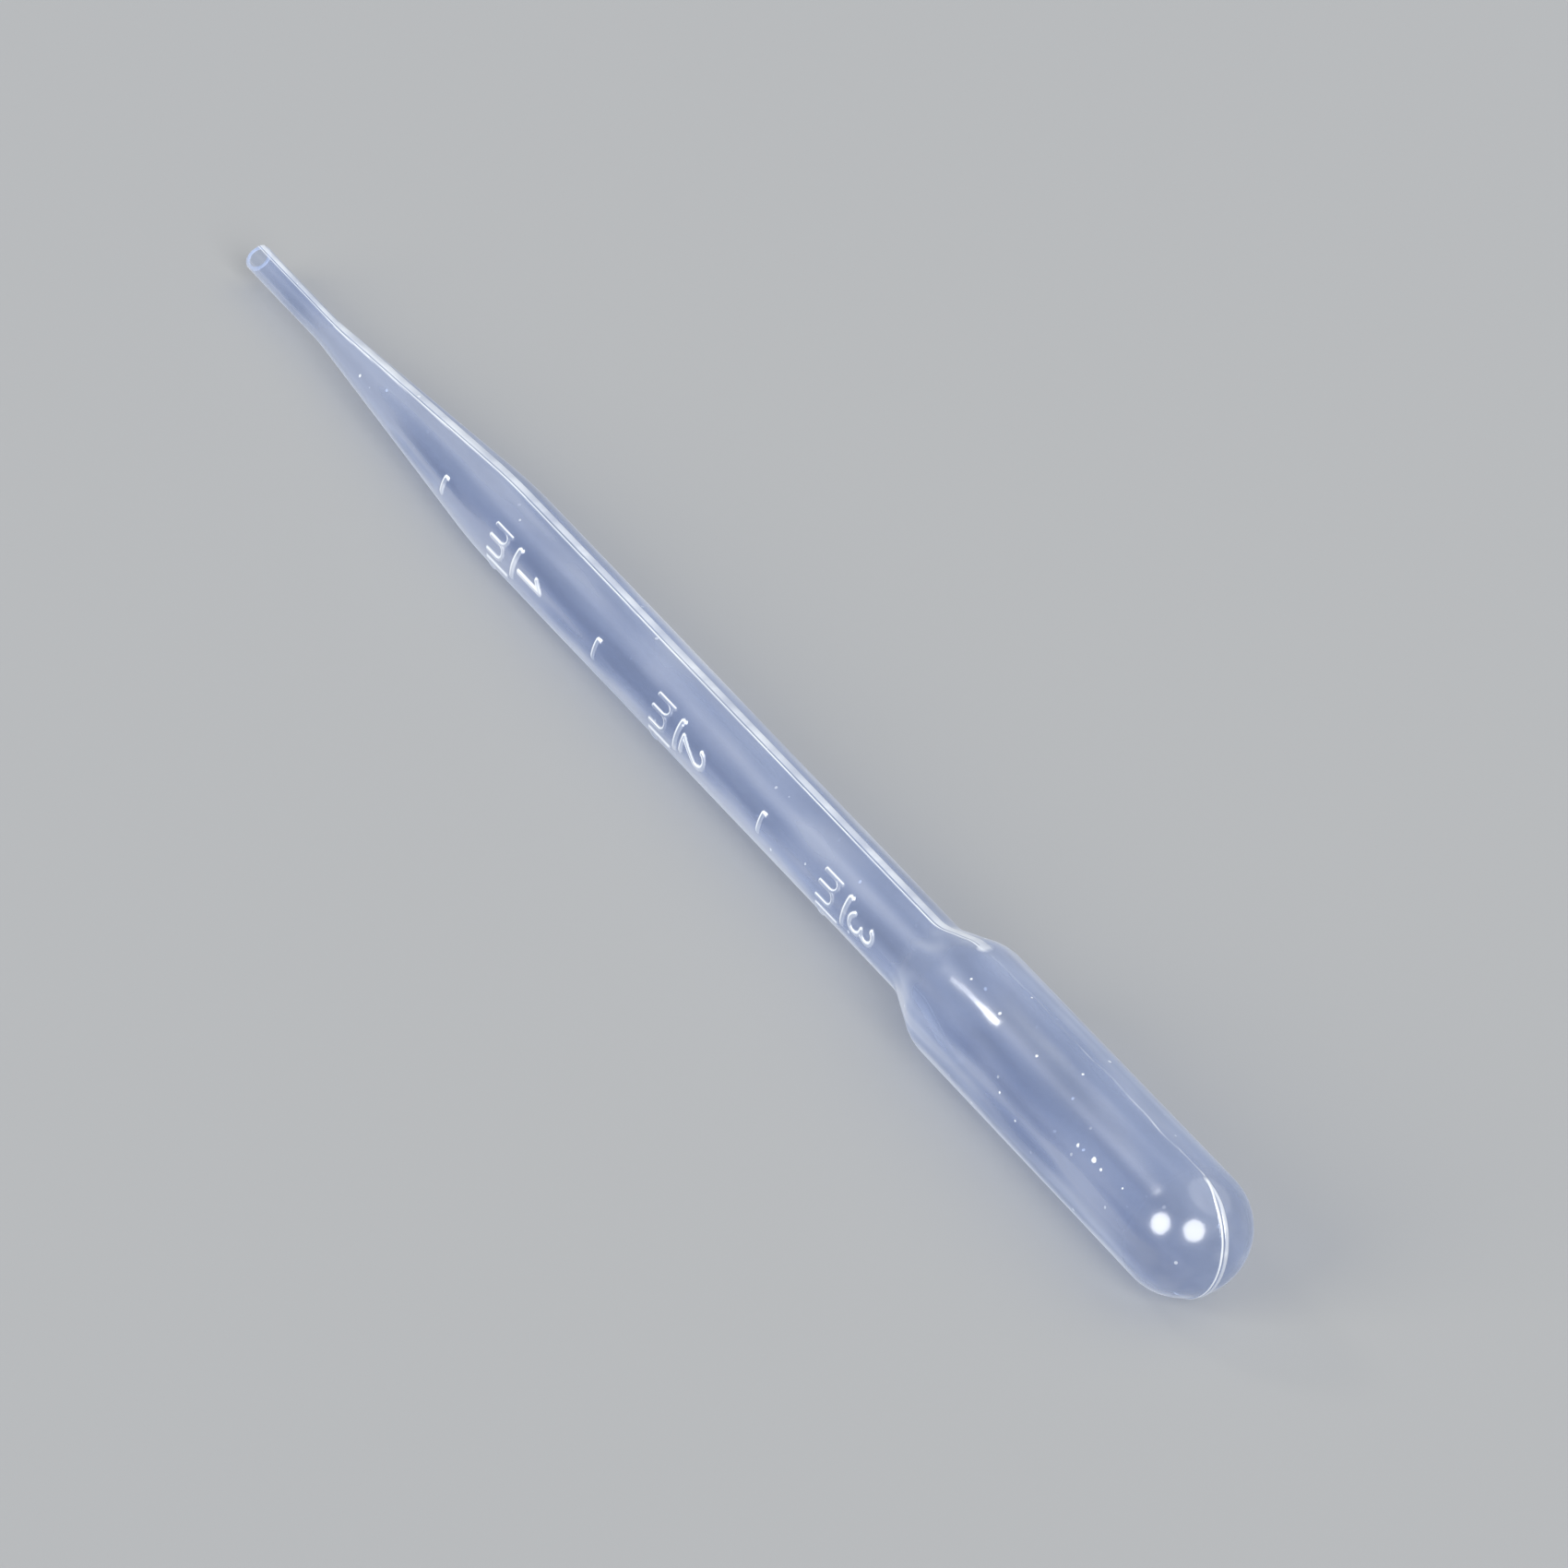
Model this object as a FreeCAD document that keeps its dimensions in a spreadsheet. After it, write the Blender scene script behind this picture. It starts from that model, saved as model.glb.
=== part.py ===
import FreeCAD, Part
import math
import os
import Sketcher

# Graduated transfer pipette, blown in one piece from low-density polyethylene.
# It is drawn along +X with the mouth at the origin and its scale facing +Z, then laid down
# as it rests on a bench: on the crest of the lower flash land, at the start of the stem and
# on the nub that ends the land. Millimetres and degrees.

sizes = {
    "tipLength": 12.7,         # straight tip tube, from the mouth
    "taperLength": 30.7,       # tip tube up to the stem
    "stemLength": 71.2,
    "shoulderLength": 5.3,     # stem up to the bulb
    "bulbLength": 34.2,        # side of the bulb, without its round end
    "tipDia": 2.6,
    "stemDia": 7.6,
    "neckDia": 11.6,           # bulb next to the shoulder
    "bulbDia": 11.8,           # bulb where its round end starts
    "tipWall": 0.4,
    "stemWall": 0.4,
    "bulbWall": 0.5,
    "boreOverrun": 1.0,        # the bore's cutter starts this far outside the mouth
    "shoulderRound": 5.4,      # outer radius where the shoulder runs into the bulb
    "tipLandWidth": 0.75,      # flash land that the mould halves leave on the tip tube
    "landWidth": 1.1,          # and on taper, stem and shoulder
    "landHeight": 0.1,
    "landRun": 1.5,            # how far the land runs on past the shoulder
    "nubLength": 1.2,          # wider end of the land, on the bulb
    "nubWidth": 1.8,
    "pinchWidth": 0.75,        # pinch-off land round the bulb's end
    "pinchHeight": 0.12,
    "pinchStart": 1.7,         # from the bulb's widest place to the pinch-off land
    "partingAngle": 83.0,      # from the middle of the scale to the parting line
    "markWidth": 0.7,
    "markHeight": 0.12,        # a mark is a low ridge with a round crest
    "markRoot": 0.15,          # how deep a mark's section reaches into the wall
    "longArc": 48.0,           # marks at 1, 2 and 3 mL
    "shortArc": 33.0,          # marks at 0.5, 1.5 and 2.5 mL
    "halfMark": 38.2,          # from the mouth to the 0.5 mL mark
    "firstMark": 51.1,         # from the mouth to the 1 mL mark
    "markVolume": 500.0,       # cubic millimetres between two marks on the stem
}

doc = FreeCAD.newDocument("pipette")
sheet = doc.addObject("Spreadsheet::Sheet", "sheet")
for row, (alias, value) in enumerate(sizes.items(), start=1):
    sheet.set(f"A{row}", alias)
    sheet.set(f"B{row}", str(value))
    sheet.setAlias(f"B{row}", alias)
doc.recompute()

body = doc.addObject("PartDesign::Body", "pipette")
body.Label = "pipette"

TURN = "-sheet.partingAngle"
NECK = "sheet.tipLength + sheet.taperLength + sheet.stemLength + sheet.shoulderLength"
tipEnd = sizes["tipLength"]
taperEnd = tipEnd + sizes["taperLength"]
stemEnd = taperEnd + sizes["stemLength"]
neckX = stemEnd + sizes["shoulderLength"]
capX = neckX + sizes["bulbLength"]


def changed(alias, change, share=1.0):
    """A share of one size plus or minus another, as a number and as the sheet's formula."""
    value = sizes[alias] * share
    formula = f"sheet.{alias} * {share}"
    if change:
        value += math.copysign(sizes[change[1:]], float(change[0] + "1"))
        formula += f" {change[0]} sheet.{change[1:]}"
    return value, formula


def radii(tipChange="", stemChange="", bulbChange=""):
    """Radius of tip, stem, bulb at the shoulder and bulb at its round end, each with its formula."""
    return [changed("tipDia", tipChange, 0.5), changed("stemDia", stemChange, 0.5),
            changed("neckDia", bulbChange, 0.5), changed("bulbDia", bulbChange, 0.5)]


def axialSketch(name, turn=None):
    """A sketch in a plane through the axis: X along the axis, Y outwards."""
    plane = next(p for p in body.Origin.OriginFeatures if p.Role == "XZ_Plane")
    sketch = body.newObject("Sketcher::SketchObject", name)
    sketch.AttachmentSupport = [(plane, "")]
    sketch.MapMode = "FlatFace"
    if turn:
        aboutAxis = FreeCAD.Rotation(FreeCAD.Vector(1, 0, 0), 1)
        sketch.AttachmentOffset = FreeCAD.Placement(FreeCAD.Vector(), aboutAxis)
        sketch.setExpression("AttachmentOffset.Rotation.Angle", turn)
    doc.recompute()
    return sketch


def tie(sketch, kind, *ends):
    """One geometric constraint of a sketch."""
    sketch.addConstraint(Sketcher.Constraint(kind, *ends))


def drive(sketch, kind, ends, size, name):
    """One driving dimension of a sketch: size is its number and the sheet's formula."""
    index = sketch.addConstraint(Sketcher.Constraint(kind, *ends, size[0]))
    sketch.renameConstraint(index, name)
    sketch.setExpression(f".Constraints.{name}", size[1])


def addLines(sketch, corners):
    """Lines from corner to corner; returns the index of the first."""
    first = sketch.GeometryCount
    points = [FreeCAD.Vector(x, y, 0) for x, y in corners]
    for start, end in zip(points, points[1:]):
        sketch.addGeometry(Part.LineSegment(start, end))
    for line in range(first, sketch.GeometryCount - 1):
        tie(sketch, "Coincident", line, 2, line + 1, 1)
    return first


def addArc(sketch, centre, radius, low, high):
    """An arc from the low to the high angle; returns its index."""
    circle = Part.Circle(FreeCAD.Vector(*centre, 0), FreeCAD.Vector(0, 0, 1), radius)
    return sketch.addGeometry(Part.ArcOfCircle(circle, low, high))


def tubeSketch(name, profile, roundSize, overrun=None, turn=None, landRun=None):
    """Half section of the pipette, with the given radii and rounding of the shoulder.

    overrun lets it start outside the mouth. It ends in the bulb's round end. Given landRun,
    it starts at the taper and ends flat, that far past the shoulder.
    """
    sketch = axialSketch(name, turn)
    tip, stem, neck, bulb = profile
    start = tipEnd if landRun else -sizes[overrun] if overrun else 0.0
    rise = math.atan2(neck[0] - stem[0], sizes["shoulderLength"])
    flare = 0.0 if landRun else math.atan2(bulb[0] - neck[0], sizes["bulbLength"])
    reach = roundSize[0] * math.tan((rise - flare) / 2)
    before = (neckX - reach * math.cos(rise), neck[0] - reach * math.sin(rise))
    after = (neckX + reach * math.cos(flare), neck[0] + reach * math.sin(flare))
    centre = (before[0] + roundSize[0] * math.sin(rise), before[1] - roundSize[0] * math.cos(rise))
    end = (neckX + sizes[landRun], neck[0]) if landRun else (capX, bulb[0])

    tube = [] if landRun else [(tipEnd, tip[0])]
    mouth = addLines(sketch, [(start, 0.0), (start, tip[0]), *tube, (taperEnd, stem[0]),
                              (stemEnd, stem[0]), before])
    taper, straight, shoulder = range(mouth + 1 + len(tube), mouth + 4 + len(tube))
    rounding = addArc(sketch, centre, roundSize[0], math.pi / 2 + flare, math.pi / 2 + rise)
    side = addLines(sketch, [after, end])
    corner = sketch.addGeometry(Part.Point(FreeCAD.Vector(neckX, neck[0], 0)), True)
    if landRun:
        close = addLines(sketch, [end, (end[0], 0.0)])
        tie(sketch, "Vertical", close)
        tie(sketch, "Coincident", side, 2, close, 1)
        foot = (close, 2)
        footX = end[0]
    else:
        close = addArc(sketch, (capX, 0.0), bulb[0], 0.0, math.pi / 2)
        tie(sketch, "Coincident", side, 2, close, 2)
        tie(sketch, "PointOnObject", close, 3, -1)
        tie(sketch, "Vertical", close, 2, close, 3)
        foot = (close, 1)
        footX = capX + bulb[0]
    axis = addLines(sketch, [(footX, 0.0), (start, 0.0)])
    tie(sketch, "Coincident", *foot, axis, 1)
    tie(sketch, "Coincident", axis, 2, mouth, 1)
    tie(sketch, "PointOnObject", axis, 1, -1)
    tie(sketch, "Vertical", mouth)
    tie(sketch, "Tangent", shoulder, 2, rounding, 2)
    tie(sketch, "Tangent", rounding, 1, side, 1)
    tie(sketch, "PointOnObject", corner, 1, shoulder)
    tie(sketch, "PointOnObject", corner, 1, side)

    if overrun or landRun:
        tie(sketch, "PointOnObject", mouth, 1, -1)
    else:
        tie(sketch, "Coincident", mouth, 1, -1, 1)
    if overrun:
        drive(sketch, "DistanceX", (mouth, 1, -1, 1), changed(overrun, ""), overrun)
    drive(sketch, "DistanceX", (-1, 1, taper, 1), changed("tipLength", ""), "tipLength")
    drive(sketch, "DistanceX", (taper, 1, taper, 2), changed("taperLength", ""), "taperLength")
    drive(sketch, "DistanceX", (straight, 1, straight, 2), changed("stemLength", ""), "stemLength")
    drive(sketch, "DistanceX", (shoulder, 1, corner, 1), changed("shoulderLength", ""), "shoulderLength")
    drive(sketch, "Radius", (rounding,), roundSize, "shoulderRound")
    if tube:
        tie(sketch, "Horizontal", mouth + 1)
    for place, point, size in [("tip", (taper, 1), tip), ("taper", (taper, 2), stem),
                               ("stem", (straight, 2), stem), ("neck", (corner, 1), neck)]:
        drive(sketch, "DistanceY", (-1, 1, *point), size, f"{place}Radius")
    if landRun:
        tie(sketch, "Horizontal", side)
        drive(sketch, "DistanceX", (corner, 1, side, 2), changed(landRun, ""), landRun)
    else:
        drive(sketch, "DistanceX", (corner, 1, side, 2), changed("bulbLength", ""), "bulbLength")
        drive(sketch, "DistanceY", (-1, 1, side, 2), bulb, "bulbRadius")
    doc.recompute()
    return sketch


def revolve(kind, name, sketch, arcFormula=None):
    """Turn a sketch about the axis, all the way or over an arc centred on its plane."""
    feature = body.newObject(kind, name)
    feature.Profile = sketch
    feature.ReferenceAxis = (sketch, ["H_Axis"])
    feature.Angle = 360
    if arcFormula:
        feature.Midplane = True
        feature.setExpression("Angle", arcFormula)
    doc.recompute()
    return feature


def slab(name, sketch, widthFormula):
    """Pad a sketch to both sides of its plane."""
    pad = body.newObject("PartDesign::Pad", name)
    pad.Profile = sketch
    pad.Midplane = True
    pad.setExpression("Length", widthFormula)
    doc.recompute()
    return pad


def block(name, end, length, top, widthFormula):
    """A straight piece of land: it stands on the axis, ends at the given x and reaches top."""
    sketch = axialSketch(name + "Sketch", TURN)
    start = end[0] - sizes[length]
    foot = addLines(sketch, [(start, 0.0), (end[0], 0.0), (end[0], top[0]), (start, top[0]), (start, 0.0)])
    tie(sketch, "Coincident", foot + 3, 2, foot, 1)
    tie(sketch, "PointOnObject", foot, 1, -1)
    for line, direction in enumerate(["Horizontal", "Vertical"] * 2):
        tie(sketch, direction, foot + line)
    drive(sketch, "DistanceX", (-1, 1, foot, 2), end, "end")
    drive(sketch, "DistanceX", (foot, 1, foot, 2), changed(length, ""), length)
    drive(sketch, "DistanceY", (-1, 1, foot + 2, 1), top, "top")
    doc.recompute()
    return slab(name, sketch, widthFormula)


def marks(name, places, arcFormula):
    """Raised ridges of the scale: each place is its x and the wall's radius there, as sizes."""
    sketch = axialSketch(name + "Sketch")
    half, root, height = sizes["markWidth"] / 2, sizes["markRoot"], sizes["markHeight"]
    crown = (half ** 2 + height ** 2) / (2 * height)
    crownFormula = "(sheet.markWidth ^ 2 / 4 + sheet.markHeight ^ 2) / (2 * sheet.markHeight)"
    spread = math.asin(half / crown)
    for number, (x, wall) in enumerate(places):
        left, right, low = x[0] - half, x[0] + half, wall[0] - root
        side = addLines(sketch, [(left, wall[0]), (left, low), (right, low), (right, wall[0])])
        crest = addArc(sketch, (x[0], wall[0] + height - crown), crown,
                       math.pi / 2 - spread, math.pi / 2 + spread)
        for line, direction in enumerate(["Vertical", "Horizontal", "Vertical"]):
            tie(sketch, direction, side + line)
        tie(sketch, "Coincident", crest, 1, side + 2, 2)
        tie(sketch, "Coincident", crest, 2, side, 1)
        tie(sketch, "Horizontal", side, 1, side + 2, 2)
        for kind, ends, size, label in [
                ("DistanceX", (-1, 1, side, 2), (left, f"{x[1]} - sheet.markWidth / 2"), "place"),
                ("DistanceX", (side + 1, 1, side + 1, 2), changed("markWidth", ""), "width"),
                ("DistanceY", (-1, 1, side, 2), (low, f"{wall[1]} - sheet.markRoot"), "low"),
                ("DistanceY", (side, 2, side, 1), changed("markRoot", ""), "root"),
                ("Radius", (crest,), (crown, crownFormula), "crown")]:
            drive(sketch, kind, ends, size, f"{label}{number}")
    doc.recompute()
    return revolve("PartDesign::Revolution", name, sketch, arcFormula)


# Outside of the blown body.
outline = radii()
outside = revolve("PartDesign::Revolution", "outside",
                  tubeSketch("outsideSketch", outline, changed("shoulderRound", "")))

# Flash lands on the parting line: one along the side, from the mouth to a nub on the bulb,
# and one round the bulb's end.
landSketch = tubeSketch("sideLandSketch", radii("+landHeight", "+landHeight", "+landHeight"),
                        changed("shoulderRound", "+landHeight"), turn=TURN, landRun="landRun")
sideLand = slab("sideLand", landSketch, "sheet.landWidth")

tipLand = block("tipLand", changed("tipLength", ""), "tipLength", changed("tipDia", "+landHeight", 0.5),
                "sheet.tipLandWidth")
nubEnd = (neckX + sizes["landRun"], f"{NECK} + sheet.landRun")
nub = block("nub", nubEnd, "nubLength", changed("neckDia", "+landHeight", 0.5), "sheet.nubWidth")

pinchR = changed("bulbDia", "+pinchHeight", 0.5)
pinchX = capX + sizes["pinchStart"]
climb = math.acos(sizes["pinchStart"] / pinchR[0])
pinchSketch = axialSketch("pinchSketch", TURN)
end = addArc(pinchSketch, (capX, 0.0), pinchR[0], 0.0, climb)
chord = addLines(pinchSketch, [(pinchX, pinchR[0] * math.sin(climb)), (pinchX, 0.0), (capX + pinchR[0], 0.0)])
tie(pinchSketch, "Coincident", end, 2, chord, 1)
tie(pinchSketch, "Coincident", end, 1, chord + 1, 2)
tie(pinchSketch, "Vertical", chord)
for point in [(end, 3), (end, 1), (chord, 2)]:
    tie(pinchSketch, "PointOnObject", *point, -1)
drive(pinchSketch, "Radius", (end,), pinchR, "pinchRadius")
drive(pinchSketch, "DistanceX", (-1, 1, end, 3), (capX, f"{NECK} + sheet.bulbLength"), "bulbEnd")
drive(pinchSketch, "DistanceX", (end, 3, chord, 2), changed("pinchStart", ""), "pinchStart")
doc.recompute()
pinchLand = slab("pinchLand", pinchSketch, "sheet.pinchWidth")

bothSides = body.newObject("PartDesign::PolarPattern", "bothSides")
bothSides.Originals = [tipLand, sideLand, nub, pinchLand]
bothSides.Axis = (next(a for a in body.Origin.OriginFeatures if a.Role == "X_Axis"), [""])
bothSides.Angle = 360
bothSides.Occurrences = 2
body.Tip = bothSides
doc.recompute()

# Scale of raised marks: long ones at each millilitre, short ones between them.
boreRadius = outline[1][0] - sizes["stemWall"]
pitch = sizes["markVolume"] / (math.pi * boreRadius ** 2)


def stemMark(step):
    """Place of the mark that lies so many half millilitres above the 1 mL mark."""
    pitchFormula = "sheet.markVolume / (pi * (sheet.stemDia / 2 - sheet.stemWall) ^ 2)"
    return (sizes["firstMark"] + step * pitch, f"sheet.firstMark + {step} * {pitchFormula}"), outline[1]


widening = (outline[1][0] - outline[0][0]) / sizes["taperLength"]
taperMark = ((sizes["halfMark"], "sheet.halfMark"),
             (outline[0][0] + widening * (sizes["halfMark"] - tipEnd),
              "sheet.tipDia / 2 + (sheet.stemDia - sheet.tipDia) / 2"
              " * (sheet.halfMark - sheet.tipLength) / sheet.taperLength"))
marks("longMarks", [stemMark(step) for step in (0, 2, 4)], "sheet.longArc")
scale = marks("shortMarks", [taperMark, stemMark(1), stemMark(3)], "sheet.shortArc")

# The bore runs from the open mouth to the closed end of the bulb.
boreSketch = tubeSketch("boreSketch", radii("-tipWall", "-stemWall", "-bulbWall"),
                        changed("shoulderRound", "-bulbWall"), overrun="boreOverrun")
bore = revolve("PartDesign::Groove", "bore", boreSketch)
if bore.Shape.Volume > 0.5 * scale.Shape.Volume:
    raise RuntimeError("the bore was not cut")
body.Tip = bore

# Lying down: the parting plane stands upright, and the crest of the lower land is level
# between the start of the stem and the nub.
nubX = nubEnd[0] - sizes["nubLength"]
tilt = math.degrees(math.atan2(outline[2][0] - outline[1][0], nubX - taperEnd))
roll = FreeCAD.Rotation(FreeCAD.Vector(1, 0, 0), sizes["partingAngle"])
lean = FreeCAD.Rotation(FreeCAD.Vector(0, 1, 0), -tilt)
laid = lean.multiply(roll)
body.Placement = FreeCAD.Placement(FreeCAD.Vector(), laid)
doc.recompute()
box = body.Shape.optimalBoundingBox(False)
body.Placement = FreeCAD.Placement(FreeCAD.Vector(-box.Center.x, -box.Center.y, -box.ZMin), laid)
doc.recompute()

for item in doc.Objects:
    if "Invalid" in item.State or "Error" in item.State:
        raise RuntimeError(f"{item.Name} failed")
if body.Shape.isNull() or not body.Shape.isValid() or len(body.Shape.Solids) != 1:
    raise RuntimeError("the pipette is not one valid solid")
os.makedirs("parts", exist_ok=True)
body.Shape.exportStep(f"parts/{body.Label}.step")
print(f"{body.Label}: {body.Shape.Volume:.2f} mm3, marks every {pitch:.3f} mm")
print(f"mouth at {body.Placement.Base}, axis rises {tilt:.4f} degrees")
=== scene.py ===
import math
import bpy
import numpy as np
from mathutils import Matrix, Vector


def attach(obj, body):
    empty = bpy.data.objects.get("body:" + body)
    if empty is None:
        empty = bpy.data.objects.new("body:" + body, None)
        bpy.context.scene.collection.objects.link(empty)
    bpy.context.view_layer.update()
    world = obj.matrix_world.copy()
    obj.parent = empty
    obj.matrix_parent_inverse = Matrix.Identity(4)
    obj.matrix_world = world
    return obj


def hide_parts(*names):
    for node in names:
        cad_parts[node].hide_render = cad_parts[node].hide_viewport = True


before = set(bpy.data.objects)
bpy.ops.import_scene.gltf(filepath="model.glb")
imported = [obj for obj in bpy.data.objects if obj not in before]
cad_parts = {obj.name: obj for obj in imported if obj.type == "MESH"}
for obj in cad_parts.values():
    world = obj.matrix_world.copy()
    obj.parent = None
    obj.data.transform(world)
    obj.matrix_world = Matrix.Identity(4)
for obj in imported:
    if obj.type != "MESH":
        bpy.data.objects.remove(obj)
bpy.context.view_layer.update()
mm = 0.001

lie = {  # how the pipette rests: its axis rises a little from the mouth to the bulb
    "mouth": Vector((-80.0157, 0.0, 2.7689)) * mm,
    "rise": math.radians(1.4917),
}
along = Vector((math.cos(lie["rise"]), 0, math.sin(lie["rise"])))       # mouth to bulb
upward = Vector((-math.sin(lie["rise"]), 0, math.cos(lie["rise"])))     # to the upper parting line
sideways = Vector((0, 1, 0))

tube = {  # all in mm, measured along the axis from the mouth
    "tipEnd": 12.7, "taperEnd": 43.4, "stemEnd": 114.6, "neck": 119.9, "capStart": 154.1,
    "tipR": 1.3, "stemR": 3.8, "neckR": 5.8, "bulbR": 5.875,
    "tipWall": 0.4, "stemWall": 0.4, "bulbWall": 0.5,
    "tipBlend": (1.2, 1.2), "taperBlend": (3.0, 3.0),           # how far each rounded corner runs,
    "collarBlend": (1.1, 1.1), "shoulderBlend": (0.95, 1.05),   # before and after it
    "lip": 0.06, "lipWhite": 1.0,           # rounding of the cut mouth, and how it catches light
    "unevenOut": 0.018, "unevenIn": 0.05,   # blown walls are never quite even,
    "evenTo": (0, 2), "evenInTo": (3, 14),  # but start even at the mouth
    "waves": [(1, 38), (2, 23), (3, 19), (4, 31), (2, 14), (3, 47), (5, 27)],   # how many round, length
    "waveGain": 2.2, "outSeed": 5, "inSeed": 11,
}


def smoothStep(a, b, x):
    t = np.clip((x - a) / (b - a), 0, 1)
    return t * t * (3 - 2 * t)


def softCorners(points, blends, steps=12):
    # every inner corner becomes a parabola
    out = [points[0]]
    for i, (before, after) in enumerate(blends, start=1):
        p, c, n = (np.array(points[k], float) for k in (i - 1, i, i + 1))
        a = c + (p - c) * before / np.linalg.norm(p - c)
        b = c + (n - c) * after / np.linalg.norm(n - c)
        for t in np.linspace(0, 1, steps):
            out.append(tuple(a * (1 - t) ** 2 + c * 2 * t * (1 - t) + b * t ** 2))
    out.append(points[-1])
    return np.array(out)


outline = softCorners(
    [(0, tube["tipR"]), (tube["tipEnd"], tube["tipR"]),
     (tube["taperEnd"], tube["stemR"]), (tube["stemEnd"], tube["stemR"]),
     (tube["neck"], tube["neckR"]), (tube["capStart"], tube["bulbR"])],
    [tube["tipBlend"], tube["taperBlend"], tube["collarBlend"], tube["shoulderBlend"]])


def outerRadius(x):
    return np.interp(x, outline[:, 0], outline[:, 1])


def wallThickness(x):
    walls = [tube["tipWall"], tube["stemWall"], tube["bulbWall"]]
    return np.interp(x, [0, tube["stemEnd"], tube["neck"]], walls)


def ripple(x, angle, seed):
    # slow waves round and along the wall, from -1 to 1
    rng = np.random.default_rng(seed)
    total, weight = 0, 0
    for around, length in tube["waves"]:
        phase = rng.uniform(0, 2 * math.pi, 2)
        share = 1 / math.sqrt(around)
        lengthwise = np.cos(2 * math.pi * x / length + phase[1])
        total = total + share * np.cos(around * angle + phase[0]) * lengthwise
        weight += share
    return total / weight * tube["waveGain"]


land = {  # flash that the mould leaves on the parting line, at angle 0 (top) and at half a turn
    "tipHalf": 0.37, "half": 0.55, "height": 0.085, "edge": 0.07,
    "widens": (-1, 3),      # mm from the end of the tip
    "lineAt": -0.47, "lineHalf": 0.085, "lineHeight": 0.095,    # crisp line along one side of the band, painted fully white (lineWhite) as a highlight
    "grooveAt": -0.31, "grooveHalf": 0.075, "grooveDepth": 0.06,
    "end": 121.4, "endSoft": 0.5, "lineEnds": (-0.8, -0.2),     # mm from the end of the land
    "nubAt": 120.8, "nubLength": 0.6, "nubHalf": 0.9, "nubHeight": 0.095,
    "hairHalf": 0.1, "hairHeight": 0.022, "hairSoft": 1,        # what is left of it along the bulb
    "hairDrift": 0.1, "hairWaves": [(0.45, 0.6, 1), (1.13, 0, 0.6)],    # rate along the axis, turn, size
    "bandWhite": (0.66, 0.94), "bandOver": 0.02, "lineWhite": 1.0,
    "nubWhite": 0.65, "nubDull": 0.3, "nubSide": (0.1, -0.5),   # the nub is whiter on one side
    "hairWhite": (0.3, 1.0), "hairFaint": 0.35, "hairClears": (128, 150),
    "lowerWhite": 0.3,      # the lower land is fainter
    # how whiteness wanders along the axis: slow waves (rate, turn, size) and a finer one that swings
    "slowWaves": [(1.7, 1.3, 0.2), (0.61, 0, 0.2)], "fineWave": (4.3, 0.07), "fineSwing": (0.9, 2.4),
}
pinch = {  # pinch-off round the bulb's end: two ridges with a groove between them
    "start": 155.2, "fadeIn": (-0.5, 0.3),      # mm from the start
    "base": 0.05, "half": 0.44, "baseSoft": 0.08,
    "join": -0.08, "joinedShare": 0.5, "opening": 2.6,      # the ridges part over this length
    "ridges": [(-0.27, 0.13, 0.11, 1.0), (0.18, 0.24, 0.105, 0.8)],     # place, half width, height, white
}
scale = {  # raised graduations; angles run from the upper parting line towards +Y
    "middle": math.radians(-83.0), "volume": 500.0, "first": 51.1, "half": 38.2, "count": 5,
    "barHalf": 0.33, "barHeight": 0.11, "longArc": math.radians(48), "shortArc": math.radians(33),
    "tick": 0.42, "tickHalf": 0.16, "tickFrom": (-0.05, 0.12), "tickSlant": 0.05,   # spur on a bar's end
    "digitHalf": 0.26, "letterHalf": 0.22, "strokeHeight": 0.1,
    "digitBase": 0.95, "digitHeight": 3.6, "digitWidth": 1.75, "digitMiddle": math.radians(-86.0),
    "unitTop": 0.8, "unitHeight": 3.3, "unitLeft": math.radians(-59.5), "unitWidth": 2.6, "unitStep": 3.5,
    # whiteness of the tops of bars, spurs, numerals and letters, partly thicker milky plastic and partly
    # painted highlight, the spurs most, and the weaker painted highlight on their duller edges
    "barWhite": 0.36, "tickWhite": 0.8, "digitWhite": 0.45, "letterWhite": 0.22, "edgeHighlightAway": 0.16,
    "whiteReach": 1.15, "edgeAt": 0.6, "edgeSoft": 0.42,    # in half widths of the stroke, where the painted edge highlight lies and how far whiteness reaches
    "litSideFrom": -0.6, "litSideTo": 0.4, "litSideTilt": 0.4,    # which way the edge with the brighter painted highlight faces
}
scale["pitch"] = scale["volume"] / (math.pi * (tube["stemR"] - tube["stemWall"]) ** 2)


def bow(centre, radius, start, end, steps=14):
    turns = [math.radians(a) for a in np.linspace(start, end, steps)]
    return [(centre[0] + radius[0] * math.cos(t), centre[1] + radius[1] * math.sin(t)) for t in turns]


# strokes of each character in a cell one unit wide and one high, u to the right and v up
glyphs = {
    "1": [[(0.12, 0.72), (0.55, 1.0), (0.55, 0.0)]],
    "2": [bow((0.5, 0.73), (0.42, 0.27), 165, -25) + [(0.12, 0.0), (0.95, 0.0)]],
    "3": [bow((0.46, 0.76), (0.4, 0.24), 150, -90, 12) + bow((0.46, 0.26), (0.46, 0.26), 90, -150, 14)],
    "m": [[(0.0, 0.0), (0.0, 0.76)], bow((0.225, 0.45), (0.225, 0.25), 180, 0, 9) + [(0.45, 0.0)],
          bow((0.725, 0.45), (0.275, 0.25), 180, 0, 9) + [(1.0, 0.0)]],
    "L": [[(0.0, 1.0), (0.0, 0.0), (0.62, 0.0)]],
}


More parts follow.
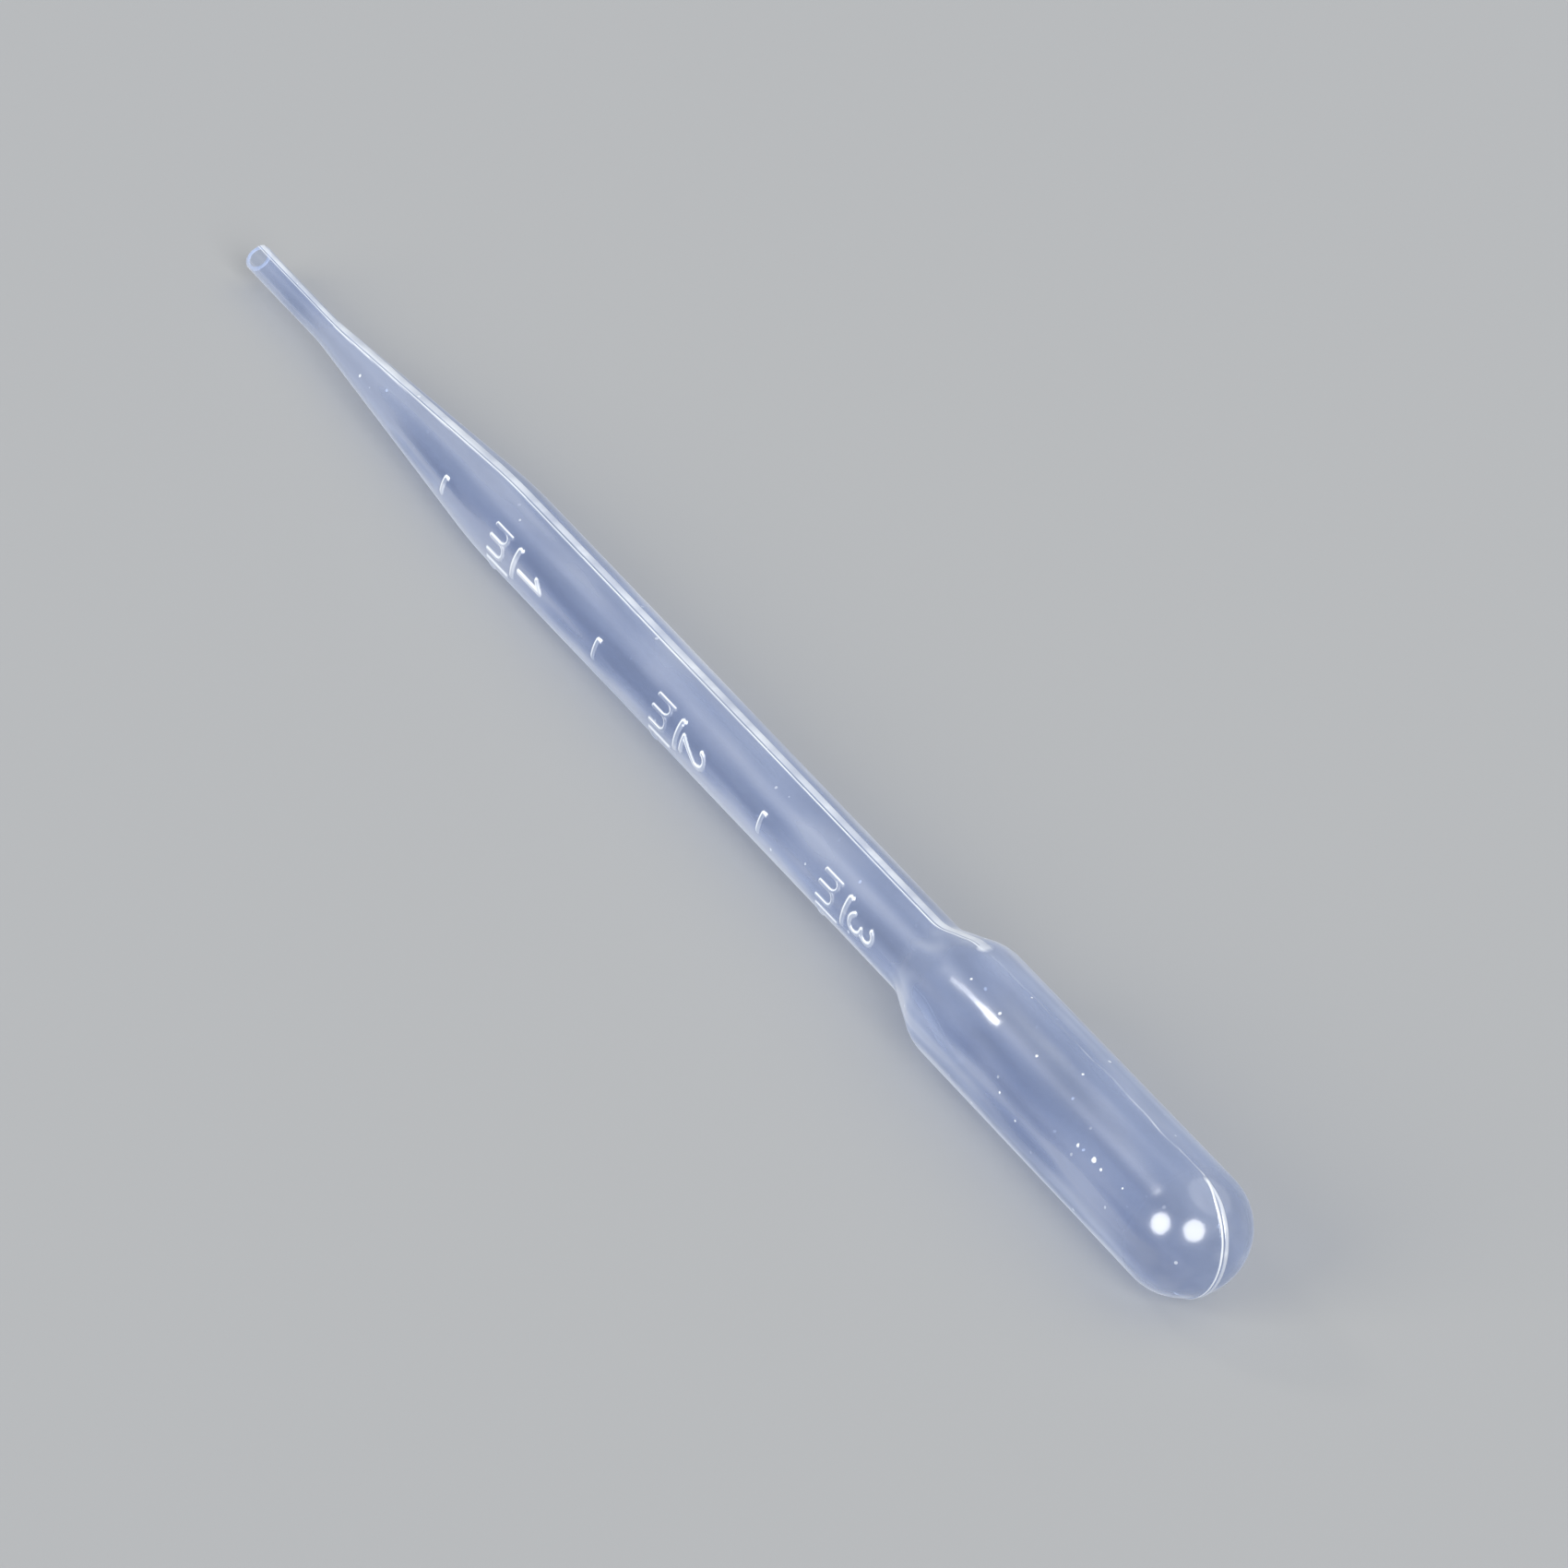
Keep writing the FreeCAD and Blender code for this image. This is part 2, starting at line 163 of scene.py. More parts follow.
def distanceToStroke(x, s, stroke):
    # distance from the middle of a stroke, and how far that way points along the axis and round the wall
    best, outX, outS = np.full(np.shape(s), 1e9), np.zeros(np.shape(s)), np.zeros(np.shape(s))
    for (x0, s0), (x1, s1) in zip(stroke, stroke[1:]):
        dx, ds = x1 - x0, s1 - s0
        t = np.clip(((x - x0) * dx + (s - s0) * ds) / max(dx * dx + ds * ds, 1e-12), 0, 1)
        offX, offS = x - x0 - t * dx, s - s0 - t * ds
        d = np.hypot(offX, offS)
        nearer = d < best
        best = np.where(nearer, d, best)
        outX = np.where(nearer, offX / (d + 1e-9), outX)
        outS = np.where(nearer, offS / (d + 1e-9), outS)
    return best, outX, outS


def bead(distance, half, height):
    # a rounded ridge, flat on top and steep at its sides
    return height * (1 - np.clip(distance / half, 0, 1) ** 4)


def paintedEdgeHighlight(distance, half, outX, outS):
    # painted highlight where a raised stroke falls off to the wall; brightest on edges towards the mouth
    # and the ends, as if lamp light caught them there
    litSide = smoothStep(scale["litSideFrom"], scale["litSideTo"], -outX + scale["litSideTilt"] * outS)
    edge = np.exp(-((distance - scale["edgeAt"] * half) / (scale["edgeSoft"] * half)) ** 2)
    return edge * (scale["edgeHighlightAway"] + (1 - scale["edgeHighlightAway"]) * litSide)


def bars():
    # place and arc of every bar; the long ones carry the whole numbers
    for step in range(scale["count"]):
        arc = scale["longArc"] if step % 2 == 0 else scale["shortArc"]
        yield scale["first"] + step * scale["pitch"], arc
    yield scale["half"], scale["shortArc"]


def strokesOnStem():
    # points (x, distance round the wall), half width, height, whiteness and the wall's radius of each
    out, r = [], tube["stemR"]
    for place, arc in bars():
        here = float(outerRadius(place))
        reach = arc / 2 * here - scale["barHalf"]
        middle = scale["middle"] * here
        out.append(([(place, middle - reach), (place, middle + reach)],
                    scale["barHalf"], scale["barHeight"], scale["barWhite"], here))
        corner = (place + scale["tickFrom"][0], middle + reach + scale["tickFrom"][1])
        out.append(([corner, (corner[0] + scale["tick"], corner[1] + scale["tickSlant"])],
                    scale["tickHalf"], scale["barHeight"], scale["tickWhite"], here))
    for number, step in (("1", 0), ("2", 2), ("3", 4)):
        line = scale["first"] + step * scale["pitch"]
        left = scale["digitMiddle"] * r + scale["digitWidth"] / 2
        low = line + scale["digitBase"]
        for stroke in glyphs[number]:
            drawn = [(low + v * scale["digitHeight"], left - u * scale["digitWidth"]) for u, v in stroke]
            out.append((drawn, scale["digitHalf"], scale["strokeHeight"], scale["digitWhite"], r))
        low = line - scale["unitTop"] - scale["unitHeight"]
        for letter, start in (("m", 0), ("L", scale["unitStep"])):
            left = scale["unitLeft"] * r - start
            for stroke in glyphs[letter]:
                drawn = [(low + v * scale["unitHeight"], left - u * scale["unitWidth"]) for u, v in stroke]
                out.append((drawn, scale["letterHalf"], scale["strokeHeight"], scale["letterWhite"], r))
    return out


strokes = strokesOnStem()


def raised(x, angle):
    # height in mm of marks, numerals and letters over the wall, and how white they are, painted highlights
    # on their edges included
    height, white = np.zeros(angle.shape), np.zeros(angle.shape)
    for stroke, half, top, face, r in strokes:
        if min(p[0] for p in stroke) - half < x < max(p[0] for p in stroke) + half:
            d, outX, outS = distanceToStroke(x, angle * r, stroke)
            inside = bead(d, half, top)
            # painted edge highlight, added to the whiteness of the stroke's top
            edge = paintedEdgeHighlight(d, half, outX, outS) + face
            white = np.where((inside >= height) & (d < half * scale["whiteReach"]), edge, white)
            height = np.maximum(height, inside)
    return height, white


def wander(x, waves):
    # waves along the axis: rate, turn and size of each
    return sum(size * math.sin(x * rate + turn) for rate, turn, size in waves)


def patchy(x, low, high):
    # a value that wanders between low and high along the axis
    rate, size = land["fineWave"]
    swingRate, swing = land["fineSwing"]
    fine = size * math.sin(x * rate + swing * math.sin(x * swingRate))
    wave = 0.5 + wander(x, land["slowWaves"]) + fine
    return low + (high - low) * min(1, max(0, wave))


def mouldLines(x, angle, r):
    # flash lands: height and whiteness; y is the distance from the parting plane, same hand on both sides
    side = np.where(np.abs(angle) < math.pi / 2, 1, -1)
    y = r * np.sin(angle) * side
    end = land["end"]
    wider = smoothStep(tube["tipEnd"] + land["widens"][0], tube["tipEnd"] + land["widens"][1], x)
    half = land["tipHalf"] + (land["half"] - land["tipHalf"]) * wider
    squeeze = y * land["half"] / half
    last = 1 - smoothStep(end - land["endSoft"], end, x)
    fade = 1 - smoothStep(end + land["lineEnds"][0], end + land["lineEnds"][1], x)
    band = land["height"] * (1 - smoothStep(half - land["edge"], half, np.abs(y))) * last
    groove = bead(np.abs(squeeze - land["grooveAt"]), land["grooveHalf"], 1) * fade
    line = bead(np.abs(squeeze - land["lineAt"]), land["lineHalf"], 1) * fade
    nub = bead(np.hypot(y / land["nubHalf"], (x - land["nubAt"]) / land["nubLength"]), 1, 1)
    drift = land["hairDrift"] * wander(x, land["hairWaves"])
    hair = bead(np.abs(y - drift), land["hairHalf"], 1) * smoothStep(end, end + land["hairSoft"], x)
    height = np.maximum(band - land["grooveDepth"] * groove, land["lineHeight"] * line)
    height = np.maximum(height, np.maximum(land["nubHeight"] * nub, land["hairHeight"] * hair))
    inBand = 1 - smoothStep(half - land["edge"], half + land["bandOver"], np.abs(y))
    inBand = inBand * last * patchy(x, *land["bandWhite"])
    # the line's full whiteness is a painted highlight
    white = np.maximum(inBand * (1 - groove), line * land["lineWhite"])
    fleck = land["nubWhite"] * smoothStep(*land["nubSide"], y) + land["nubDull"]
    towardEnd = land["hairFaint"] + (1 - land["hairFaint"]) * smoothStep(*land["hairClears"], x)
    white = np.maximum(white, np.maximum(nub * fleck, hair * patchy(x, *land["hairWhite"]) * towardEnd))
    return height, white * np.where(side > 0, 1, land["lowerWhite"])


def pinchOff(x, angle, r):
    # height and whiteness of the land round the bulb's end
    y = r * np.sin(angle)
    parted = float(smoothStep(pinch["start"], pinch["start"] + pinch["opening"], x))
    half = pinch["half"] * (pinch["joinedShare"] + (1 - pinch["joinedShare"]) * parted)
    height = pinch["base"] * (1 - smoothStep(half - pinch["baseSoft"], half, np.abs(y)))
    white = np.zeros(angle.shape)
    for place, half, top, bright in pinch["ridges"]:
        place = pinch["join"] + (place - pinch["join"]) * parted
        ridge = bead(np.abs(y - place), half, 1)
        height = np.maximum(height, ridge * top)
        white = np.maximum(white, ridge * bright)
    start = smoothStep(pinch["start"] + pinch["fadeIn"][0], pinch["start"] + pinch["fadeIn"][1], x)
    return height * start, white * start


net = {  # the mesh: rows along the wall, each with its own set of angles
    "fine": 0.105,      # mm between points under marks and letters
    "landStep": math.radians(0.95), "landSpan": math.radians(10.5), "landStepScale": math.radians(1.3),
    "coarse": math.radians(3.0), "inner": math.radians(4.0),
    "scaleFrom": math.radians(-141), "scaleTo": math.radians(-54),
    # mm between points across the pinch-off, half its width, share of a small ring, steps beside it
    "capLevel": 0.04, "capReach": 0.6, "capShare": 0.85, "capSides": 26,
    # rows outside: from, to and step in mm, before the long scale and after it
    "tipRows": [(tube["lip"], 12, 1.0), (12, 15, 0.3), (15, 37.6, 1.2)],
    "halfMarkRows": (37.6, 38.8),
    "taperRows": [(38.8, 42, 0.8), (42, 46.4, 0.45)],
    "numbered": (-4.6, 5.1), "plainMark": (-0.55, 0.55), "between": 1.2,    # fine rows round each mark
    "scaleEnd": 113.6, "afterScale": 0.8,
    "shoulderRows": [(113.6, 116, 0.16), (116, 118, 0.4), (118, 119.8, 0.25), (119.8, 121.8, 0.12)],
    "bulbRows": [(121.8, 130, 0.4), (130, tube["capStart"], 1.0)],
    # turns in degrees of the rows over the cut of the mouth, and where the land's height is read for them
    "lipTurns": (30, 60, 90), "innerLipTurns": (90, 45), "lipLand": 0.1,
    # rows inside, the last of them to the round end, and the turns of the rows on the round end itself
    "firstInside": 0.6,
    "innerRows": [(1.5, 12, 1.5), (12, 15, 0.5), (15, 42, 1.8), (42, 45, 0.75), (45, 113.4, 1.9),
                  (113.4, 127, 0.7)],
    "lastInside": (127, 1.9),
    "capTurns": [(89.4, 84, 10), (82.5, 0, 38)], "innerCapTurns": (5, 85, 17),
}


def spread(a, b, step):
    return np.linspace(a, b, max(1, math.ceil((b - a) / step - 1e-9)) + 1)


def ringAngles(kind):
    if kind == "inner":
        return spread(-math.pi, math.pi, net["inner"])[:-1]
    span, onScale = net["landSpan"], kind == "scale"
    landStep = net["landStepScale"] if onScale else net["landStep"]
    scaleStep = net["fine"] / tube["stemR"] if onScale else net["coarse"]
    zones = [(-math.pi, -math.pi + span, landStep), (-math.pi + span, net["scaleFrom"], net["coarse"]),
             (net["scaleFrom"], net["scaleTo"], scaleStep), (net["scaleTo"], -span, net["coarse"]),
             (-span, span, landStep), (span, math.pi - span, net["coarse"]),
             (math.pi - span, math.pi, landStep)]
    return np.concatenate([spread(a, b, step)[:-1] for a, b, step in zones])


def capAngles(r):
    # on the round end points keep their distance from the parting plane, so the pinch-off runs straight
    reach = min(net["capReach"], net["capShare"] * r)
    levels = np.arcsin(spread(0, reach, reach * net["capLevel"] / net["capReach"]) / r)
    edge = levels[-1]
    top = np.concatenate([-levels[::-1], levels[1:]])
    low = np.linspace(edge - math.pi, -edge, net["capSides"] + 1)
    high = np.linspace(edge, math.pi - edge, net["capSides"] + 1)
    return np.concatenate([levels[:-1] - math.pi, low[:-1], top[:-1], high[:-1], math.pi - levels[:0:-1]])


def outerRows():
    # (x, which set of angles) from the lip to where the round end starts
    zones = [(*rows, "plain") for rows in net["tipRows"]]
    zones.append((*net["halfMarkRows"], net["fine"], "scale"))
    zones += [(*rows, "plain") for rows in net["taperRows"]]
    at = zones[-1][1]
    for step in range(scale["count"]):
        place = scale["first"] + step * scale["pitch"]
        before, after = net["numbered"] if step % 2 == 0 else net["plainMark"]
        low, high = place + before, place + after
        if low > at + 0.01:
            zones.append((at, low, net["between"], "plain"))
        zones.append((max(low, at), high, net["fine"], "scale"))
        at = high
    zones.append((at, net["scaleEnd"], net["afterScale"], "plain"))
    zones += [(*rows, "plain") for rows in net["shoulderRows"] + net["bulbRows"]]
    for a, b, step, kind in zones:
        for x in spread(a, b, step)[:-1]:
            yield x, kind


finish = {  # how glossy and how milky the wall is from place to place, and where light and shade are painted into it
    "bulbGloss": 0.1, "bulbStarts": (117, 121), "capGloss": 0.85, "capStarts": (152.6, 155.6),
    # a polished streak under the shoulder: shares of its length, and of its half width
    "patchFrom": 121.8, "patchTo": 129.8, "patchAngle": (math.radians(-43.5), math.radians(-38.0)),
    "patchHalf": 0.5, "patchNarrow": 0.75, "patchWiden": 0.95, "patchWidest": 0.84, "patchSpan": 0.16,
    "patchStart": (0, 0.06), "patchEnd": (1, 0.9), "patchFaint": 0.6, "patchBrightens": (0.3, 0.8),
    "patchSides": (0.6, 1.25),
    "taperMilk": 0.82, "stemMilk": 1, "shoulderMilk": 1.15, "bulbMilk": 0.85, "capMilk": 0.5,
    "milkSteps": [("stemMilk", 38, 52), ("shoulderMilk", 114, 117), ("bulbMilk", 118, 124),
                  ("capMilk", 148, 156)],
    # degrees from either parting line: painted shade, a darker, clearer stretch on the upper flanks, and
    # below it with a soft step painted light, lighter and cloudier lower sides
    "paintedShadeStretch": (28, 48, 73, 80), "paintedLightStretch": (77, 85, 135, 160), "paintedShadeShare": 0.7,
    # the painted shading is stronger on the taper
    "taperPaintedShading": 0.9, "taperPaintedShadingTo": (48, 34),
    # drawn lines along the bulb: how many round it, turn, strength; and how they drift and end
    "bulbLines": [(17, 0.63, 0.5), (11, 2.0, 0.32)], "linesDrift": (0.24, 0.03),
    "linesStart": (116, 123), "linesEnd": (160, 154),
}


def glossAt(x, angle, r):
    gloss = finish["bulbGloss"] * smoothStep(*finish["bulbStarts"], x)
    gloss = gloss + (finish["capGloss"] - gloss) * smoothStep(*finish["capStarts"], x)
    share = (x - finish["patchFrom"]) / (finish["patchTo"] - finish["patchFrom"])
    if 0 < share < 1:
        middle = finish["patchAngle"][0] + share * (finish["patchAngle"][1] - finish["patchAngle"][0])
        widening = math.exp(-((share - finish["patchWidest"]) / finish["patchSpan"]) ** 2)
        half = finish["patchHalf"] * (finish["patchNarrow"] + finish["patchWiden"] * widening)
        ends = float(smoothStep(*finish["patchStart"], share) * smoothStep(*finish["patchEnd"], share))
        brighter = float(smoothStep(*finish["patchBrightens"], share))
        ends *= finish["patchFaint"] + (1 - finish["patchFaint"]) * brighter
        aside = smoothStep(*finish["patchSides"], np.abs(angle - middle) * r / half)
        gloss = np.maximum(gloss, ends * (1 - aside))
    return gloss + 0 * angle


def milkAt(x):
    # how much milky plastic the wall holds, stretch by stretch
    milk = finish["taperMilk"]
    for name, a, b in finish["milkSteps"]:
        milk = milk + (finish[name] - milk) * smoothStep(a, b, x)
    return float(milk)


def paintedShadingAndLinesAt(x, angle):
    # painted shading: from -1 where the wall is painted darker and clearer to 1 where it is painted
    # lighter and cloudier; the bulb's real drawn lines are added
    side = np.degrees(np.abs(angle))
    rate, swing = finish["linesDrift"]
    drift = angle + swing * math.sin(x * rate)
    lines = sum(strength * np.sin(count * drift + turn) for count, turn, strength in finish["bulbLines"])

    def stretch(a, b, c, d):
        return smoothStep(a, b, side) * (1 - smoothStep(c, d, side))

    paintedShadingAndLines = stretch(*finish["paintedLightStretch"]) - finish["paintedShadeShare"] * stretch(*finish["paintedShadeStretch"])
    paintedShadingAndLines = paintedShadingAndLines * (1 + finish["taperPaintedShading"] * smoothStep(*finish["taperPaintedShadingTo"], x))
    return paintedShadingAndLines + lines * smoothStep(*finish["linesStart"], x) * smoothStep(*finish["linesEnd"], x)


def buildPipette():
    angles = {kind: ringAngles(kind) for kind in ("plain", "scale", "inner")}
    rings, points, inside = [], [], []
    # the last list holds painted shading and the bulb's drawn lines
    whites, glosses, milks, clouds = [], [], [], []

    def addRing(a, x, r, out=(0, 1), height=0.0, white=0.0):
        px = x + height * out[0] + 0 * a
        pr = r + height * out[1]
        rings.append((sum(len(p) for p in points), a))
        around = np.outer(pr * np.cos(a), upward) + np.outer(pr * np.sin(a), sideways)
        points.append(np.array(lie["mouth"]) + mm * (np.outer(px, along) + around))
        # whiteness carries painted highlights on the marks and the land's line as well as real whitening
        whites.append(white + 0 * a)
        glosses.append(glossAt(x, a, r))
        milks.append(milkAt(x) + 0 * a)
        clouds.append(paintedShadingAndLinesAt(x, a))
        inside.append(a is angles["inner"])

    def addPole(x, white, inner):
        rings.append((sum(len(p) for p in points), None))
        points.append(np.array([lie["mouth"] + along * (x * mm)]))
        whites.append(np.array([white]))
        glosses.append(np.array([finish["capGloss"]]))
        milks.append(np.array([finish["capMilk"]]))
        clouds.append(np.zeros(1))
        inside.append(inner)

    # outside, from the pole of the bulb to the mouth
    cap, outR, inR = tube["capStart"], tube["bulbR"], tube["bulbR"] - tube["bulbWall"]
    height, white = pinchOff(cap + outR, np.zeros(1), 0)
    addPole(cap + outR + float(height[0]), float(white[0]), False)
    for turn in np.radians(np.concatenate([np.linspace(*turns) for turns in net["capTurns"]])):
        x, r = cap + outR * math.sin(turn), outR * math.cos(turn)
        a = capAngles(r)
        height, white = pinchOff(x, a, r)
        fade = 1 - float(smoothStep(pinch["start"] + pinch["fadeIn"][0], pinch["start"], x))
        lineHeight, lineWhite = mouldLines(x, a, r)
        addRing(a, x, r, (math.sin(turn), math.cos(turn)), np.maximum(height, lineHeight * fade),
                np.maximum(white, lineWhite * fade))
    for x, kind in reversed(list(outerRows())):
        a, r = angles[kind], float(outerRadius(x))
        sunk = 0.5 + 0.5 * np.clip(ripple(x, a, tube["outSeed"]), -1, 1)
        uneven = -tube["unevenOut"] * sunk * smoothStep(*tube["evenTo"], x)
        markHeight, markWhite = raised(x, a)
        lineHeight, lineWhite = mouldLines(x, a, r)
        addRing(a, x, r, (0, 1), uneven + np.maximum(markHeight, lineHeight),
                np.maximum(markWhite, lineWhite))

    # round the cut of the mouth
    lip, tip, bore = tube["lip"], tube["tipR"], tube["tipR"] - tube["tipWall"]
    landHere = mouldLines(net["lipLand"], angles["plain"], tip)[0]
    for turn in np.radians(net["lipTurns"]):
        r = tip - lip * (1 - math.cos(turn))
        addRing(angles["plain"], lip * (1 - math.sin(turn)), r, (0, 1), landHere, tube["lipWhite"])
    a = angles["inner"]
    for turn in np.radians(net["innerLipTurns"]):
        addRing(a, lip * (1 - math.sin(turn)), bore + lip * (1 - math.cos(turn)), white=tube["lipWhite"])

    # inside, from the mouth to the pole
    lastFrom, lastStep = net["lastInside"]
    innerRows = [spread(*rows)[:-1] for rows in net["innerRows"]]
    for x in np.concatenate([[lip, net["firstInside"]], *innerRows, spread(lastFrom, cap, lastStep)]):
        uneven = tube["unevenIn"] * ripple(x, a, tube["inSeed"]) * smoothStep(*tube["evenInTo"], x)
        addRing(a, x, float(outerRadius(x)) - float(wallThickness(x)), (0, 1), uneven)
    for turn in np.radians(np.linspace(*net["innerCapTurns"])):
        uneven = tube["unevenIn"] * ripple(cap, a, tube["inSeed"]) * math.cos(turn)
        out = (math.sin(turn), math.cos(turn))
        addRing(a, cap + inR * out[0], inR * out[1], out, uneven)
    addPole(cap + inR, 0.0, True)

    faces, slots = [], []
    for row, ((first, a), (second, b)) in enumerate(zip(rings, rings[1:])):
        if a is None or b is None:
            pole, start, n = (first, second, len(b)) if a is None else (second, first, len(a))
            for i in range(n):
                pair = (start + i, start + (i + 1) % n)
                faces.append((pole, *reversed(pair)) if a is None else (pole, *pair))
        elif len(a) == len(b):
            n = len(a)
            for i in range(n):
                j = (i + 1) % n
                faces.append((first + i, first + j, second + j, second + i))
        else:       # rows with different sets of angles are zipped together
            aheadA, aheadB = [*a[1:], math.pi, math.inf], [*b[1:], math.pi, math.inf]
            i = j = 0
            while i < len(a) or j < len(b):
                here, there = first + i % len(a), second + j % len(b)
                if aheadA[i] <= aheadB[j]:
                    faces.append((here, first + (i + 1) % len(a), there))
                    i += 1
                else:
                    faces.append((here, second + (j + 1) % len(b), there))
                    j += 1
        slots.extend([int(inside[row])] * (len(faces) - len(slots)))
    mesh = bpy.data.meshes.new("pipetteBody")
    mesh.from_pydata([tuple(p) for p in np.concatenate(points)], [], faces)
    for name, values in (("white", whites), ("gloss", glosses), ("milk", milks), ("paintedShadingAndLines", clouds)):
        stored = mesh.attributes.new(name, "FLOAT", "POINT")
        stored.data.foreach_set("value", np.concatenate(values).astype(np.float32))
    mesh.polygons.foreach_set("material_index", slots)
    mesh.validate()
    mesh.shade_smooth()
    mesh.update()
    body = bpy.data.objects.new("pipetteBody", mesh)
    bpy.context.scene.collection.objects.link(body)
    triangles = sum(len(face.vertices) - 2 for face in mesh.polygons)
    print("mesh:", len(mesh.vertices), "points,", triangles, "triangles")
    return body


pipetteBody = buildPipette()
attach(pipetteBody, "root")
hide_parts("pipette")


def newMaterial(name):
    material = bpy.data.materials.new(name)
    material.use_nodes = True
    nodes, links = material.node_tree.nodes, material.node_tree.links
    nodes.clear()
    return material, nodes, links


blown = {  # the wall's own unevenness, used by every plastic surface
    "Streak Size": 0.0022, "Streak Stretch": 14.0,
    "Cloud Size": 0.0045, "Cloud Stretch": 2.4,
    "Grain Size": 0.00035,
}
plastic = {
    "milk": (0.90, 0.93, 1.0, 1), "milkDark": (0.48, 0.575, 0.86, 1), "white": (0.90, 0.945, 1.0, 1),
    "clear": (0.715, 0.78, 0.925, 1),   # tint of the light that passes
    "streaks": 0.65, "clouds": 0.35, "paintedShadingShift": 0.05,    # what the wall's bands are mixed from, painted shading among them
    "bandFrom": 0.4, "bandTo": 0.6, "thinnest": 0.12,
    "haze": 0.145, "grazing": 1.35, "leastFacing": 0.08, "glow": 0.3, "whiteHaze": 0.96,
    "sheen": 0.8, "sheenRough": 0.45,
    "rough": 0.5, "grainRough": 0.2, "grainBump": 0.1, "grainDepth": 0.00004,
    "dull": 0.36, "polished": 0.14, "dullMirror": 0.045, "mirror": 0.15, "rimMirror": 0.4, "rimPower": 5.0,
    "speckCell": 0.0016, "speckHalf": 0.00016, "speckShare": 0.3,
    # scuffs: place along the axis in mm, angle round the wall in degrees, half width in mm
    "flecks": [(144.5, -62, 0.26), (146.9, -61, 0.34), (148.1, -62.5, 0.2), (151.2, -60, 0.14),
               (139, -18, 0.16), (134.6, -36, 0.17), (133.9, -81, 0.15), (136.8, -90, 0.14),
               (123.5, -31, 0.15), (128.3, -1, 0.12)],
    "fleckRough": 0.5, "fleckGrain": 0.00035, "fleckFrom": 1.5, "fleckTo": 1.1,     # edge in half widths
}
innerSide = {  # where the inner face differs; it has no specks or scuffs
    "clear": (0.985, 0.99, 1.0, 1), "haze": 0.05, "leastFacing": 0.4, "flecks": [],
    "polished": 0.45, "dull": 0.45, "dullMirror": 0.02, "mirror": 0.02, "rimMirror": 0.1,
}


def blownWall():
    # node group: streaks and clouds drawn out along the axis, and fine grain
    group = bpy.data.node_groups.new("blownWall", "ShaderNodeTree")
    for name, size in blown.items():
        socket = group.interface.new_socket(name, in_out="INPUT", socket_type="NodeSocketFloat")
        socket.default_value = size
    for name in ("Streaks", "Clouds", "Grain"):
        group.interface.new_socket(name, in_out="OUTPUT", socket_type="NodeSocketFloat")
    nodes, links = group.nodes, group.links
    inward, outward = nodes.new("NodeGroupInput"), nodes.new("NodeGroupOutput")
    place = nodes.new("ShaderNodeTexCoord")
    turn = nodes.new("ShaderNodeMapping")
    turn.inputs["Rotation"].default_value = (0, lie["rise"], 0)
    links.new(place.outputs["Object"], turn.inputs["Vector"])
    split = nodes.new("ShaderNodeSeparateXYZ")
    links.new(turn.outputs[0], split.inputs[0])

    def noiseAlong(size, stretch, detail, roughness):
        # noise of one size, drawn out along the axis where a stretch is named
        across = nodes.new("ShaderNodeMath")
        across.operation = "DIVIDE"
        across.inputs[0].default_value = 1
        links.new(inward.outputs[size], across.inputs[1])
        shorter = nodes.new("ShaderNodeMath")
        shorter.operation = "DIVIDE"
        links.new(split.outputs["X"], shorter.inputs[0])
        if stretch:
            links.new(inward.outputs[stretch], shorter.inputs[1])
        else:
            shorter.inputs[1].default_value = 1
        joined = nodes.new("ShaderNodeCombineXYZ")
        links.new(shorter.outputs[0], joined.inputs["X"])
        links.new(split.outputs["Y"], joined.inputs["Y"])
        links.new(split.outputs["Z"], joined.inputs["Z"])
        noise = nodes.new("ShaderNodeTexNoise")
        noise.inputs["Detail"].default_value = detail
        noise.inputs["Roughness"].default_value = roughness
        links.new(joined.outputs[0], noise.inputs["Vector"])
        links.new(across.outputs[0], noise.inputs["Scale"])
        return noise

    streaks = noiseAlong("Streak Size", "Streak Stretch", detail=1, roughness=0.5)
    clouds = noiseAlong("Cloud Size", "Cloud Stretch", detail=1.5, roughness=0.5)
    grain = noiseAlong("Grain Size", None, detail=2, roughness=0.6)
    links.new(streaks.outputs["Fac"], outward.inputs["Streaks"])
    links.new(clouds.outputs["Fac"], outward.inputs["Clouds"])
    links.new(grain.outputs["Fac"], outward.inputs["Grain"])
    return group


wallGroup = blownWall()


